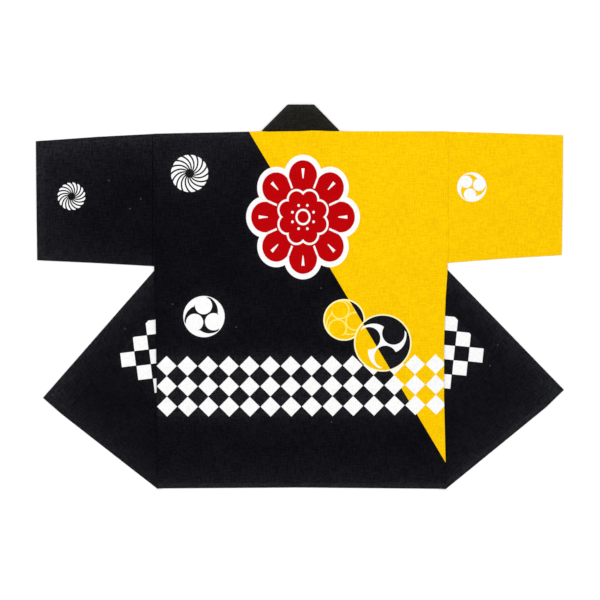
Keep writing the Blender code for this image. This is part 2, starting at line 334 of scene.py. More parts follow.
class Finish:
    # one material and its nodes

    def __init__(self, name):
        self.material = bpy.data.materials.new(name)
        self.material.use_nodes = True
        self.tree = self.material.node_tree
        self.shader = self.tree.nodes["Principled BSDF"]

    def node(self, kind, settings=None, inputs=None, output=0):
        made = self.tree.nodes.new(kind)
        for key, value in (settings or {}).items():
            setattr(made, key, value)
        for key, value in (inputs or {}).items():
            self.feed(made.inputs[key], value)
        return Term(self, made.outputs[output])

    def feed(self, socket, value):
        if isinstance(value, Term):
            self.tree.links.new(value.socket, socket)
        else:
            socket.default_value = value

    def math(self, operation, *values, clamp=False):
        settings = dict(operation=operation, use_clamp=clamp)
        return self.node("ShaderNodeMath", settings, dict(enumerate(values)))

    def least(self, *values):
        found = values[0]
        for value in values[1:]:
            found = self.math("MINIMUM", found, value)
        return found

    def most(self, *values):
        found = values[0]
        for value in values[1:]:
            found = self.math("MAXIMUM", found, value)
        return found

    def length(self, x, y):
        return self.math("SQRT", x * x + y * y)

    def within(self, away, soft):
        # 1 where a distance is below 0, with a soft edge
        return self.math("MULTIPLY_ADD", away, -1.0 / soft, 0.5, clamp=True)

    def mix(self, share, first, second):
        inputs = {0: share, 6: first, 7: second}
        return self.node("ShaderNodeMix", dict(data_type="RGBA"), inputs, output=2)

    def grain(self, vector, stretch, detail=2.0, rough=0.5):
        # noise from 0 to 1, with its own number of spots a metre in each direction
        inputs = {"Vector": vector, "Scale": stretch}
        drawn = self.node("ShaderNodeMapping", None, inputs)
        inputs = {"Vector": drawn, "Scale": 1.0, "Detail": detail, "Roughness": rough}
        return self.node("ShaderNodeTexNoise", dict(noise_dimensions="2D"), inputs)

    def placed(self, vector, centre, turn, size):
        # x and y of a motif's own space, where its rim is at 1
        settings = dict(vector_type="TEXTURE")
        inputs = {"Vector": vector, "Location": (centre[0], centre[1], 0.0),
                  "Rotation": (0.0, 0.0, radians(turn)), "Scale": (size[0], size[1], 1.0)}
        return self.parted(self.node("ShaderNodeMapping", settings, inputs))

    def parted(self, vector):
        inputs = {"Vector": vector}
        return [self.node("ShaderNodeSeparateXYZ", None, inputs, output=i) for i in range(2)]

    def show(self, **values):
        # gives the shader its values, with _ for a space in a socket's name
        for key, value in values.items():
            self.feed(self.shader.inputs[key.replace("_", " ")], value)

    def bump(self, height, strength, distance):
        inputs = {"Strength": strength, "Distance": distance, "Height": height}
        return self.node("ShaderNodeBump", None, inputs)

    def scaled(self, vector, factor):
        inputs = {0: vector, "Scale": factor}
        return self.node("ShaderNodeVectorMath", dict(operation="SCALE"), inputs)


colours = dict(
    black=(0.00142, 0.00128, 0.00215, 1.0),
    # the pale end of the black, for its paler tone and for painted glare near edges and white print
    blackPale=(0.0062, 0.0064, 0.0076, 1.0),
    blackFaded=(0.0075, 0.0072, 0.0092, 1.0),
    worn=(0.0125, 0.0115, 0.0085, 1.0),
    # the worn collar lightened by painted glare near the coat's edges at the neck
    wornInGlare=(0.0215, 0.0210, 0.0185, 1.0),
    yellow=(0.880, 0.551, 0.0004, 1.0),
    yellowDeep=(0.776, 0.450, 0.0003, 1.0),
    yellowBack=(0.690, 0.395, 0.0060, 1.0),
    white=(0.872, 0.875, 0.869, 1.0),
    whiteDeep=(0.778, 0.781, 0.775, 1.0),
    cream=(0.845, 0.822, 0.470, 1.0),
    creamLine=(0.850, 0.735, 0.165, 1.0),
    red=(0.470, 0.0006, 0.0020, 1.0),
    redDeep=(0.400, 0.0003, 0.0014, 1.0),
    lint=(0.056, 0.056, 0.060, 1.0),
)


def toned(colour, factor):
    return tuple(c * factor for c in colour[:3]) + (1.0,)


def frontEdges(side, hem, free):
    # the turned hem and the free edge of a front, with the coat to the left of each line
    plan = plans[side]
    rows = [(plan.hem, plan.bandHem, *hem), (plan.tip, plan.tip + plan.edge, *free)]
    if plan.sign > 0:
        return rows
    flip = Vector((-1.0, 1.0))
    return [(end * flip, start * flip, *rest) for start, end, *rest in rows]


# How much paler the black is drawn, where a share of full is all of it: everywhere, more from one
# place of the plan to another, and along edges of the laid coat. An edge has its two ends, a share
# that dies away over a reach and, where it has a doubled hem, the share of that to its depth.
# Along the edges the share is painted glare, and where it is below 0 it is painted shade beside a
# seam. The last share is painted glare round the white print.
fade = dict(
    full=1.5,
    clouded=0.20,         # how much the share goes up and down in the clouds of the cloth
    hemSoft=0.004,
    lighter=3.0,          # the light tone of the black yarns against their dark one
)
left, right = plans["left"], plans["right"]
leftHem, leftShoulder, leftArmpit, leftNeck, leftCrease = left.placed(
    [left.hem, left.shoulder, left.side[0], left.neck, left.crease])
rightHem, rightShoulder, rightNeck, rightCrease = right.placed(
    [right.hem, right.shoulder, right.neck, right.crease])
sleeveTop, cuffTop, cuffUnder, sleeveUnder = left.placed(
    [left.topFold[0], left.topFold[-1], left.underarm[-1], left.underarm[0]])
paleAndGlare = {
    "body": dict(all=0.05, more=[(0.140, 0.345, 0.42), (-0.200, -0.425, 0.15)], glare=0.62, edges=[
        (leftHem, rightHem, 0.90, 0.023, 0.50, 0.0125),
        (rightShoulder, leftShoulder, 0.90, 0.022, 0.30, 0.0100),
        # a negative share: painted shade along the body's left side seam
        (leftArmpit, leftHem, -0.30, 0.0040)]),
    "left": dict(all=0.08, more=[], glare=0.30,
                 edges=frontEdges("left", (1.15, 0.025), (1.40, 0.0220))),
    "right": dict(all=0.20, more=[], glare=0.30,
                  edges=frontEdges("right", (1.10, 0.026, 0.55, 0.0130), (1.55, 0.0200))),
    "leftSleeve": dict(all=-0.02, more=[(0.140, 0.345, 0.25)], glare=0.25, edges=[
        (cuffTop, cuffUnder, 0.80, 0.079, 0.40, 0.0195),
        (sleeveTop, cuffTop, 1.30, 0.030, 0.35, 0.0110),
        (cuffUnder, sleeveUnder, 0.80, 0.025)]),
    "collar": dict(all=0.16, more=[], glare=0.0,
                   edges=(frontEdges("left", (1.20, 0.027), (1.40, 0.0230))
                          + frontEdges("right", (1.20, 0.028), (1.60, 0.0220)))),
}

weaveSettings = dict(
    yarn=0.00042,         # from one thread to the next, in metres
    threadSpots=(110.0, 1500.0),
    slubSpots=(420.0, 45.0),
    longSlubs=1.3,
    mottleSpots=240.0,
    cloudSpots=14.0,
    mottled=1.15,         # how much mottle and clouds are in the tone of the dye
    clouded=0.30,
    level=0.725,          # where the tone is half way, and how fast it changes there
    contrast=1.9,
    relief=(0.45, 0.9, 0.5),         # of yarns, slubs and mottle
    bump=(0.35, 0.00025),
    rough=(0.86, 0.10),              # and how much the slubs change it
)
lint = dict(spots=42.0, rare=0.982, size=0.062, soft=0.075)
drift = dict(spots=900.0, reach=0.0009)       # of the printed edges, from yarn to yarn

edgeSoft = 0.45           # millimetres over which the printed edges run into the weave


def plainWeave(finish, plan):
    # heights of the yarns and of their slubs, and shades for the colours
    row = weaveSettings
    long, fine = row["threadSpots"]
    x, y = finish.parted(plan)
    turn = pi / row["yarn"]
    weave = finish.math("SINE", x * turn) * finish.math("SINE", y * turn)
    warp = finish.grain(plan, (fine, long, 1.0))
    weft = finish.grain(plan, (long, fine, 1.0))
    mottle = finish.grain(plan, (row["mottleSpots"],) * 2 + (1.0,), detail=4.0, rough=0.6)
    cloud = finish.grain(plan, (row["cloudSpots"],) * 2 + (1.0,), detail=3.0)
    thick, short = row["slubSpots"]
    slubs = warp + weft - 1.0
    slubs += (finish.grain(plan, (thick, short, 1.0)) + finish.grain(plan, (short, thick, 1.0))
              - 1.0) * row["longSlubs"]
    return weave, slubs, mottle, cloud


def lintOn(finish, plan):
    # a few light fibres caught in the cloth
    inputs = {"Vector": plan, "Scale": lint["spots"], "Randomness": 1.0}
    settings = dict(voronoi_dimensions="2D")
    away = finish.node("ShaderNodeTexVoronoi", settings, inputs)
    tone = finish.node("ShaderNodeTexVoronoi", settings, inputs, output=1)
    rare = finish.math("GREATER_THAN", finish.parted(tone)[0], lint["rare"])
    return finish.within(away - lint["size"], lint["soft"]) * rare


def yieldingEdge(finish, plan):
    # the plan shifted a little by the yarns, so that printed edges aren't ruled
    inputs = {"Vector": plan, "Scale": drift["spots"], "Detail": 1.0}
    drawn = finish.node("ShaderNodeTexNoise", dict(noise_dimensions="2D"), inputs, output=1)
    inputs = {0: drawn, 1: (0.5, 0.5, 0.5)}
    shift = finish.node("ShaderNodeVectorMath", dict(operation="SUBTRACT"), inputs)
    inputs = {0: plan, 1: finish.scaled(shift, drift["reach"])}
    return finish.node("ShaderNodeVectorMath", dict(operation="ADD"), inputs)


# Each printed motif is a distance that is below 0 inside the motif.

def sectorOf(finish, x, y, pitch, lead, middle):
    # how far out a point is, its angle once turned into one sector, and its x and y there
    away = finish.length(x, y)
    angle = (finish.math("ARCTAN2", y, x) + lead) % pitch - middle
    return away, angle, away * finish.math("COSINE", angle), away * finish.math("SINE", angle)


def threeCommas(finish, x, y, head=0.42, ring=0.515, rim=1.0, corner=0.66, rise=(0.32, 0.035)):
    # three comma shapes chasing each other round a disc
    third = tau / 3
    cornerTurn = 0.742      # from the middle of a head to the corner where its tail starts
    lead = third / 2 - cornerTurn
    away, angle, foldX, foldY = sectorOf(finish, x, y, third, lead, lead)
    own = finish.length(foldX - ring, foldY) - head
    after = finish.length(foldX - ring * cos(third), foldY - ring * sin(third)) - head
    turned = abs(angle - cornerTurn)
    tail = (rise[0] - turned * rise[1]) * turned + corner - away
    return finish.most(finish.least(own, after, tail), away - rim), away


def whirl(finish, x, y, row):
    # curved blades round an open middle
    away = finish.length(x, y)
    pitch = tau / row["blades"]
    angle = finish.math("ARCTAN2", y, x) - away * row["sweep"]
    fromLine = abs(angle % pitch - pitch / 2)          # 0 in the middle of a blade
    slope = away * row["sweep"]
    lean = 1.0 / finish.math("SQRT", slope * slope + 1.0)
    blade = (fromLine - pitch / 2) * away * lean + row["line"] + away * row["flare"]
    rim = away - 1.0 + fromLine * fromLine * row["tip"]
    return finish.most(blade, rim, row["hub"] - away)


def blossom(finish, x, y, row):
    # a flower of overlapping round petals: its outside, and the lines drawn in it
    pitch = tau / row["petals"]
    away, angle, foldX, foldY = sectorOf(finish, x, y, pitch, pitch / 2, pitch / 2)
    petal = finish.length(foldX - (1.0 - row["petal"]), foldY) - row["petal"]
    outside = finish.least(petal, away - (1.0 - row["petal"]))
    side = abs(foldY)
    toGap = finish.math("SINE", pitch / 2 - abs(angle)) * away
    gaps = finish.most(toGap - row["line"], row["gapFrom"] - away, away - row["gapTo"])
    taper = row["line"] * row["taper"][0] + (away - row["veinFrom"]) * row["taper"][1]
    vein = finish.most(side - taper, row["veinFrom"] - away, away - row["veinTo"])
    _, _, innerX, innerY = sectorOf(finish, x, y, pitch, 0.0, pitch / 2)
    small = finish.length(innerX - row["innerRing"], innerY) - row["innerPetal"]
    small = finish.least(small, away - row["innerRing"])
    heart = abs(away - row["heart"]) - row["line"]
    drawn = finish.least(abs(small) - row["line"], heart, gaps, vein)
    seeds = finish.length(innerX - row["seedRing"], innerY) - row["seed"]
    return outside, finish.least(drawn, seeds)


def bandPlaces(finish, plan, row):
    # along and up a band of checks from its middle row, and past its end, in millimetres
    x, y = finish.parted(plan)
    x, y = x * 1000.0, y * 1000.0
    left, top = row["first"]
    aside = x - row["bowFrom"]
    up = y - top - aside * aside * row["bow"] + row["pitch"][1]
    side, at, lean = row["ends"]
    beyond = (y - top) * (lean * side) + at * side - x * side
    return x + (y - top) * row["lean"] - left, up, beyond


def checkBand(finish, plan, row):
    # rows of diamonds standing point to point that end along a line
    along, up, beyond = bandPlaces(finish, plan, row)
    wide, high = row["pitch"]
    dx = abs((along + wide / 2) % wide - wide / 2)
    dy = abs((up + high / 2) % high - high / 2)
    return finish.most(dx + dy - row["half"], abs(up) - bandRows / 2 * high, beyond) / sqrt(2)


def bandField(finish, plan, row):
    # distance outside the field of the checks
    _, up, beyond = bandPlaces(finish, plan, row)
    return finish.most(abs(up) - glare["bandHalf"] * row["pitch"][1], beyond)


bandRows = 3
flower = dict(
    centre=(0.0071, 0.1785), size=(0.1277, 0.1400), turn=0.0,
    petals=8, petal=0.335, outline=0.088, line=0.017,
    gapFrom=0.50, gapTo=0.665, veinFrom=0.62, veinTo=0.78,
    taper=(0.4, 0.13), innerRing=0.30, innerPetal=0.155, heart=0.115,
    seedRing=0.20125, seed=0.0221, radius=0.134, softOver=138.0,
)
bigWhirl = dict(
    centre=(-0.2476, 0.2763), radius=0.0420, turn=11.9,
    blades=16, sweep=0.99, line=0.0356, flare=0.0085, tip=0.9, hub=0.237,
)
littleWhirl = dict(
    centre=(-0.5130, 0.2249), radius=0.0313, turn=13.2,
    blades=16, sweep=1.01, line=0.041, flare=0.012, tip=3.3, hub=0.262,
)
bodyCommas = dict(centre=(-0.2154, -0.0452), radius=0.0463, turn=91.8,
                  commas=dict(head=0.418, ring=0.531, corner=0.687, rise=(0.311, 0.035)))
sleeveCommas = dict(centre=(0.3863, 0.2458), radius=0.0329, turn=16.7,
                    commas=dict(head=0.417, ring=0.523, corner=0.683, rise=(0.299, 0.035)))
smallDisc = dict(centre=(0.0996, -0.0526), radius=0.0468, turn=-8.0, rim=0.932, line=0.028)
largeDisc = dict(centre=(0.1861, -0.1043), radius=0.0645, turn=41.4,
                 commas=dict(rim=0.953, head=0.393, ring=0.500, corner=0.543, rise=(0.388, 0.046)))
bodySplit = dict(top=(-0.1141, 0.3700), foot=(0.3246, -0.3682))
bodyBand = dict(first=(-299.1, -156.6), pitch=(46.46, 45.65), half=22.4, lean=0.011,
                bow=0.0000233, bowFrom=-145.8, ends=(1, -322.3, 0.0))
frontBands = {
    "left": dict(first=(-320.2, -152.5), pitch=(46.8, 46.0), half=22.4, lean=0.0,
                 bow=0.0, bowFrom=0.0, ends=(-1, -68.2, -0.061)),
    "right": dict(first=(80.8, -152.7), pitch=(46.5, 45.4), half=22.4, lean=0.0,
                  bow=0.0, bowFrom=0.0, ends=(1, 63.4, 0.050)),
}


# How far the painted glare round each white motif reaches, in metres, and how strong it is.
glare = dict(discs=0.012, band=0.014, bandShare=1.6, bandHalf=1.35, flower=0.009, flowerShare=0.8)


def splitSide(finish, plan, row):
    # distance from the slanting edge of the yellow ground, below 0 on the yellow side
    x, y = finish.parted(plan)
    top, foot = Vector(row["top"]), Vector(row["foot"])
    across = leftOf((foot - top).normalized())
    return (x * across.x + y * across.y - top.dot(across)) * -1000.0


def disc(finish, plan, row):
    x, y = finish.placed(plan, row["centre"], row["turn"], (row["radius"],) * 2)
    return x, y, edgeSoft / (row["radius"] * 1000.0)


def printWhirl(finish, plan, under, white, row):
    x, y, soft = disc(finish, plan, row)
    return finish.mix(finish.within(whirl(finish, x, y, row), soft), under, white)


def printCommas(finish, plan, under, white, row):
    x, y, soft = disc(finish, plan, row)
    commas, _ = threeCommas(finish, x, y, **row["commas"])
    return finish.mix(finish.within(commas, soft), under, white)


def printBody(finish, plan, black, yellow, red, white):
    # everything that is printed on the back
    onYellow = finish.within(splitSide(finish, plan, bodySplit), edgeSoft)
    field = finish.mix(onYellow, black, yellow)
    swapped = finish.mix(onYellow, yellow, black)
    band = finish.within(checkBand(finish, plan, bodyBand), edgeSoft)
    shown = finish.mix(band, field, white)

    x, y, soft = disc(finish, plan, smallDisc)
    commas, away = threeCommas(finish, x, y, rim=2.0)
    shown = finish.mix(finish.within(away - 1.0, soft), shown, colours["cream"])
    shown = finish.mix(finish.within(away - smallDisc["rim"], soft), shown, swapped)
    lines = finish.most(abs(commas) - smallDisc["line"], away - smallDisc["rim"])
    lines = finish.within(lines, soft * 2) * (1 - onYellow)
    shown = finish.mix(lines, shown, colours["creamLine"])

    x, y, soft = disc(finish, plan, largeDisc)
    commas, away = threeCommas(finish, x, y, **largeDisc["commas"])
    ring = largeDisc["commas"]["rim"]
    shown = finish.mix(finish.within(away - 1.0, soft), shown, colours["cream"])
    shown = finish.mix(finish.within(away - ring, soft), shown, white)
    shown = finish.mix(finish.within(commas, soft), shown, swapped)

    shown = printWhirl(finish, plan, shown, white, bigWhirl)
    shown = printCommas(finish, plan, shown, white, bodyCommas)

    x, y = finish.placed(plan, flower["centre"], flower["turn"], flower["size"])
    soft = edgeSoft / flower["softOver"]
    outside, drawn = blossom(finish, x, y, flower)
    shown = finish.mix(finish.within(outside, soft), shown, white)
    inRed = finish.within(outside + flower["outline"], soft)
    shown = finish.mix(inRed, shown, red)
    return finish.mix(finish.within(drawn, soft) * inRed, shown, white)


# The part of the band behind the neck, in metres along it, and its darkest and lightest tone.
collarNeck = dict(middle=0.915, reach=0.105, fade=0.030, tones=(0.50, 1.15))
# edges of the collar at the neck, along which painted glare lightens the worn tone
neckGlareEdges = [
    (rightCrease, leftCrease, 0.90, 0.0095),
    (leftCrease, leftNeck, 0.90, 0.0095),
    (rightNeck, rightCrease, 0.85, 0.0115),
]


def glareAndShadeNearEdges(finish, rows):
    # painted glare that dies away inwards from edges of the laid coat; a share below 0 is painted
    # shade. A doubled hem adds a paler strip over its depth
    x, y = finish.parted(finish.node("ShaderNodeTexCoord", None, None, output=3))
    share = 0.0
    for start, end, amount, reach, *doubled in rows:
        inward = leftOf((end - start).normalized())
        away = finish.math("MAXIMUM", x * inward.x + y * inward.y - start.dot(inward), 0.0)
        share = share + finish.math("EXPONENT", away * (-1.0 / reach)) * amount
        if doubled:
            hem, depth = doubled
            share = share + finish.within(away - depth, fade["hemSoft"]) * hem
    return share


def glareRoundPrint(finish, plan, kind):
    # painted glare: 1 inside each white motif of a piece, dying away round it
    def dying(away, size, reach):
        return finish.math("EXPONENT", finish.math("MAXIMUM", away, 0.0) * (-size / reach))

    shares = []
    discs = dict(body=[bigWhirl, bodyCommas, smallDisc, largeDisc], leftSleeve=[littleWhirl])
    for row in discs.get(kind, []):
        x, y, _ = disc(finish, plan, row)
        shares.append(dying(finish.length(x, y) - 1.0, row["radius"], glare["discs"]))
    bands = dict(frontBands, body=bodyBand)
    if kind in bands:
        field = bandField(finish, plan, bands[kind])
        shares.append(dying(field, 0.001, glare["band"]) * glare["bandShare"])
    if kind == "body":
        x, y = finish.placed(plan, flower["centre"], flower["turn"], flower["size"])
        outside, _ = blossom(finish, x, y, flower)
        shares.append(dying(outside, flower["radius"], glare["flower"]) * glare["flowerShare"])
    return finish.most(*shares)


def blackWithGlare(finish, plan, tone, cloud, kind):
    # the black dye, paler by an even share, in clouds and towards given places of the plan, lighter
    # with painted glare near the coat's edges and round the white print, and darker with painted
    # shade beside the body's left side seam
    dark, pale = [finish.mix(tone, colours[key], toned(colours[key], fade["lighter"]))
                  for key in ("black", "blackPale")]
    if kind not in paleAndGlare:
        return dark
    row = paleAndGlare[kind]
    y = finish.parted(plan)[1]
    # the edges add painted glare, and painted shade where their share is below 0
    share = row["all"] + (cloud - 0.5) * fade["clouded"] + glareAndShadeNearEdges(finish, row["edges"])
    for start, end, amount in row["more"]:
        span = end - start
        run = finish.math("MULTIPLY_ADD", y, 1.0 / span, -start / span, clamp=True)
        share = share + run * run * amount
    # painted glare round the white print
    if row["glare"]:
        share = share + glareRoundPrint(finish, plan, kind) * row["glare"]
    return finish.mix(finish.math("MULTIPLY", share, 1.0 / fade["full"], clamp=True), dark, pale)


# Painted shade along the sewn lines at the armholes and behind the neck, which lie deeper. Each is
# at a distance on the plan, with half its width and the share of the colour that it keeps.
seamShadeSoft = 0.0008
seamShades = {
    "leftSleeve": dict(at=sleeveTop.x - left.seamIn, half=0.0009, keep=0.20),
    "rightSleeve": dict(at=right.topFold[0].x + right.seamIn, half=0.0009, keep=0.93),
    "neck": dict(at=0.0, half=0.0022, keep=0.35),
}


def seamShaded(finish, plan, colour, kind):
    # a colour, with painted shade along the piece's sewn line
    if kind not in seamShades:
        return colour
    row = seamShades[kind]
    away = abs(finish.parted(plan)[0] - row["at"]) - row["half"]
    return finish.mix(finish.within(away, seamShadeSoft), colour, finish.scaled(colour, row["keep"]))


def cottonFinish(name, kind):
    # plain-woven cotton with one of the coat's prints, dyed black or yellow
    finish = Finish(name)
    plan = finish.node("ShaderNodeUVMap", dict(uv_map="cloth"))
    weave, slubs, mottle, cloud = plainWeave(finish, plan)
    row = weaveSettings
    shade = mottle * row["mottled"] + cloud * row["clouded"] + slubs - row["level"]
    tone = finish.math("MULTIPLY_ADD", shade, row["contrast"], 0.5, clamp=True)
    black = blackWithGlare(finish, plan, tone, cloud, kind)
    black = finish.mix(lintOn(finish, plan), black, colours["lint"])
    yellow, red, white = [finish.mix(tone, colours[key + "Deep"], colours[key])
                          for key in ("yellow", "red", "white")]
    # painted shade along the armhole seam
    black, yellow = [seamShaded(finish, plan, colour, kind) for colour in (black, yellow)]
    drawn = yieldingEdge(finish, plan)

    if kind == "body":
        shown = printBody(finish, drawn, black, yellow, red, white)
    elif kind in ("left", "right"):
        band = finish.within(checkBand(finish, drawn, frontBands[kind]), edgeSoft)
        shown = finish.mix(band, black, white)
    elif kind == "leftSleeve":
        shown = printWhirl(finish, drawn, black, white, littleWhirl)
    elif kind == "rightSleeve":
        shown = printCommas(finish, drawn, yellow, white, sleeveCommas)
    elif kind == "wrongBody":
        onYellow = finish.within(splitSide(finish, drawn, bodySplit), edgeSoft)
        shown = finish.mix(onYellow, finish.mix(tone, black, colours["blackFaded"]),
                           finish.mix(tone, colours["yellowBack"], colours["yellowDeep"]))
    elif kind == "wrongYellow":
        shown = finish.mix(tone, colours["yellowBack"], colours["yellowDeep"])
    elif kind == "wrongBlack":
        shown = finish.mix(tone, colours["blackFaded"], black)
    else:
        # the collar is rubbed a little paler behind the neck
        atNeck = finish.within(abs(finish.parted(plan)[1] - collarNeck["middle"])
                               - collarNeck["reach"], collarNeck["fade"])
        worn, wornInGlare = [
            finish.mix(tone, *[toned(colours[key], factor) for factor in collarNeck["tones"]])
            for key in ("worn", "wornInGlare")]
        # painted glare near the coat's edges at the neck
        worn = finish.mix(glareAndShadeNearEdges(finish, neckGlareEdges), worn, wornInGlare)
        # painted shadow under the band along the neck seam
        shown = finish.mix(atNeck, black, seamShaded(finish, plan, worn, "neck"))

    ofYarns, ofSlubs, ofMottle = row["relief"]
    height = weave * ofYarns + slubs * ofSlubs + mottle * ofMottle
    rough, bySlubs = row["rough"]
    finish.show(Base_Color=shown, Roughness=rough + slubs * bySlubs,
                Normal=finish.bump(height, *row["bump"]),
                Specular_IOR_Level=0.025, Sheen_Weight=0.010, Sheen_Roughness=0.5)
    return finish.material


threadSettings = dict(twist=0.0006, fuzzSpots=2500.0, bump=(0.5, 0.0001), rough=(0.55, 0.15))


def threadFinish(name, colour, deep):
    # sewing thread, twisted from two plies
    finish = Finish(name)
    place = finish.node("ShaderNodeTexCoord", None, None, output=3)
    x, y = finish.parted(place)
    row = threadSettings
    twist = finish.math("SINE", (x + y) * (tau / row["twist"]))
    fuzz = finish.grain(place, (row["fuzzSpots"],) * 2 + (1.0,))
    share = finish.math("MULTIPLY_ADD", twist + fuzz - 0.5, 0.5, 0.5, clamp=True)
    rough, byFuzz = row["rough"]
    finish.show(Base_Color=finish.mix(share, deep, colour), Roughness=rough + fuzz * byFuzz,
                Normal=finish.bump(twist, *row["bump"]),
                Specular_IOR_Level=0.04, Sheen_Weight=0.01)
    return finish.material


finishes = {kind: cottonFinish(kind + "Cotton", kind) for kind in (
    "body", "left", "right", "leftSleeve", "rightSleeve", "collar",
    "wrongBody", "wrongBlack", "wrongYellow")}
for name, colour, deep in [
        ("blackThread", (0.012, 0.012, 0.015, 1.0), (0.003, 0.003, 0.004, 1.0)),
        ("yellowThread", (0.82, 0.49, 0.003, 1.0), (0.58, 0.32, 0.002, 1.0)),
        # the left armhole's thread is drawn far darker than black thread, as painted shade in the
        # seam
        ("shadeDarkThread", (0.0014, 0.0014, 0.0020, 1.0), (0.0004, 0.0004, 0.0006, 1.0))]:
    finishes[name] = threadFinish(name, colour, deep)
print("finishes made")


stitchSettings = dict(
    pitch=0.0032,
    size=(0.0023, 0.00050, 0.00034),       # length, width and height
    sides=6,
    rings=4,
    inside=0.001,         # from the edge of a hem's turning to the row that holds it
    clear=0.002,          # from the end of a row to the edge beside it
)


def sewAlong(bm, path, heightAt):
    # a row of short raised stitches along a line of the plan
    row = stitchSettings
    length = row["size"][0]
    count = int(lengthOf(path) / row["pitch"])
    for i in range(count):
        share = (i + 0.5) / count
        middle = pointOn(path, share)
        direction = (pointOn(path, share + 0.2 / count) - pointOn(path, share - 0.2 / count))
        direction = direction.normalized()
        reach = direction * length / 2
        start, end = heightAt(middle - reach), heightAt(middle + reach)
        tilt = atan2(end - start, length)
        place = Matrix.Translation((middle.x, middle.y, (start + end) / 2))
        place @= Matrix.Rotation(atan2(direction.y, direction.x), 4, "Z")
        place @= Matrix.Rotation(-tilt, 4, "Y")
        halves = [part / 2 for part in row["size"]]
        place @= Matrix.Diagonal((*halves, 1.0)) @ Matrix.Rotation(pi / 2, 4, "Y")
        bmesh.ops.create_uvsphere(bm, u_segments=row["sides"], v_segments=row["rings"],
                                  radius=1.0, matrix=place)


def makeStitches(name, paths, heightAt, thread):
    bm = bmesh.new()
    for path in paths:
        sewAlong(bm, path, heightAt)
    made = toObject(name, bm, [finishes[thread]])
    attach(made, "root")
    return made


def surfaceOf(bm):
    # height of the finished cloth's upper face over a point of the plan
    tree = BVHTree.FromBMesh(bm)
    return lambda point: topAt(tree, point) + coat["cloth"] / 2


backSettings = dict(
    cell=0.0050,
    neckSteps=24,
    cut=(0.664, 0.804),
    hemDepth=0.013,       # turned-up hem
    hemRise=0.00035,
    allowance=0.010,      # seam allowance that lies under the side and shoulder seams
    allowanceRise=0.00030,
    settle=3,             # smoothing passes, which soften the falls over the layers below
    mostSunk=0.0002,      # how far they may lower the cloth
    waves=(0.085, 0.00030, 1.7),     # size, height and seed
    ripples=(0.021, 0.00006, 4.1),
    creases=[
        ((0.006, 0.290), (-0.004, -0.400), 0.00040, 0.0060),
        ((-0.300, 0.070), (-0.060, 0.086), 0.00045, 0.0075),
        ((0.040, 0.081), (0.310, 0.066), 0.00040, 0.0090),
        ((-0.305, 0.330), (-0.200, 0.180), 0.00050, 0.0110),
        ((0.312, 0.345), (0.215, 0.215), 0.00055, 0.0120),
        ((0.300, 0.010), (0.235, 0.095), 0.00040, 0.0100),
        ((-0.290, -0.010), (-0.255, -0.110), 0.00040, 0.0100),
        ((-0.210, -0.280), (-0.120, -0.410), 0.00055, 0.0120),
        ((0.080, -0.290), (0.030, -0.405), 0.00045, 0.0095),
        ((0.180, -0.300), (0.240, -0.395), 0.00050, 0.0105),
        ((-0.150, 0.010), (-0.020, -0.030), 0.00030, 0.0130),
        ((0.205, 0.060), (0.285, -0.060), 0.00035, 0.0085),
    ],
)


def neckBow(x):
    # how far the neck seam stands above a straight line
    line = coat["neckLine"]
    for (x0, rise0), (x1, rise1) in zip(line, line[1:]):
        if x0 <= x <= x1:
            return rise0 + (rise1 - rise0) * ease((x - x0) / (x1 - x0))
    return line[0][1] if x < line[0][0] else line[-1][1]


def backEdges():
    # the back's hem, its top edge with the neck, and its two side seams
    sewn = Vector((0.0, coat["sewn"]))
    hem = left.placed([left.hem]) + [Vector(coat["hemMiddle"])] + right.placed([right.hem])
    neck = left.placed([left.neck + sewn]) + right.placed([right.neck + sewn])
    steps = backSettings["neckSteps"]
    bow = [neck[0].lerp(neck[1], i / steps) for i in range(steps + 1)]
    bow = [p + Vector((0.0, neckBow(p.x))) for p in bow]
    top = left.placed([left.shoulder]) + bow + right.placed([right.shoulder])
    start = left.placed([left.hem] + left.side[::-1] + [left.shoulder])
    end = right.placed([right.hem] + right.side[::-1] + [right.shoulder])
    return hem, top, start, end


def makeBack():
    row = backSettings
    hem, top, start, end = backEdges()
    width, length = lengthOf(hem), lengthOf(start)
    depth, allowance = row["hemDepth"], row["allowance"]
    rim = coat["rim"]
    across = placesAlong(width, row["cell"], [
        rim, *stepAt(allowance), *stepAt(width - allowance), width - rim])
    along = placesAlong(length, row["cell"], [
        rim, *stepAt(depth), *stepAt(length - allowance), length - rim])
    bm = gridOf([p / width for p in across], [p / length for p in along])
    inset = {v: (v.co.x * width, v.co.y * length) for v in bm.verts}
    fitToEdges(bm, hem, top, start, end)
    keepPlan(bm)
    area = flatArea(bm)

    tree = treeOf("back")
    laid = {}
    for v in bm.verts:
        laid[v] = topAt(tree, v.co) - coat["wall"] / 2
        v.co.z = laid[v]
    for _ in range(row["settle"]):
        bmesh.ops.smooth_vert(bm, verts=bm.verts, factor=0.5, use_axis_x=False,
                              use_axis_y=False, use_axis_z=True)
    for v in bm.verts:
        spot = v.co.xy
        x, y = inset[v]
        rise = creaseAt(row["creases"], spot)
        rise += row["hemRise"] * laidOver(depth - y)
        rise += row["allowanceRise"] * laidOver(allowance - min(x, width - x, length - y))
        rise += abs(rippleAt(spot, *row["waves"])) + rippleAt(spot, *row["ripples"])
        v.co.z = max(v.co.z, laid[v] - row["mostSunk"]) + rise

    surface = surfaceOf(bm)
    hemLine = [Vector((p.x, p.y + depth - stitchSettings["inside"])) for p in hem]
    hemLine[0].x += stitchSettings["clear"]
    hemLine[-1].x -= stitchSettings["clear"]
    stitches = makeStitches("back_hem_stitches", [hemLine], surface,
                            "blackThread")
    dressNode("back", "back_cloth", bm, [finishes["body"], finishes["wrongBody"]],
              "printed_cotton", area, flat=row["cut"], held="laid",
              rests_on=["front_left", "front_right"], with_pieces=[stitches])


makeBack()


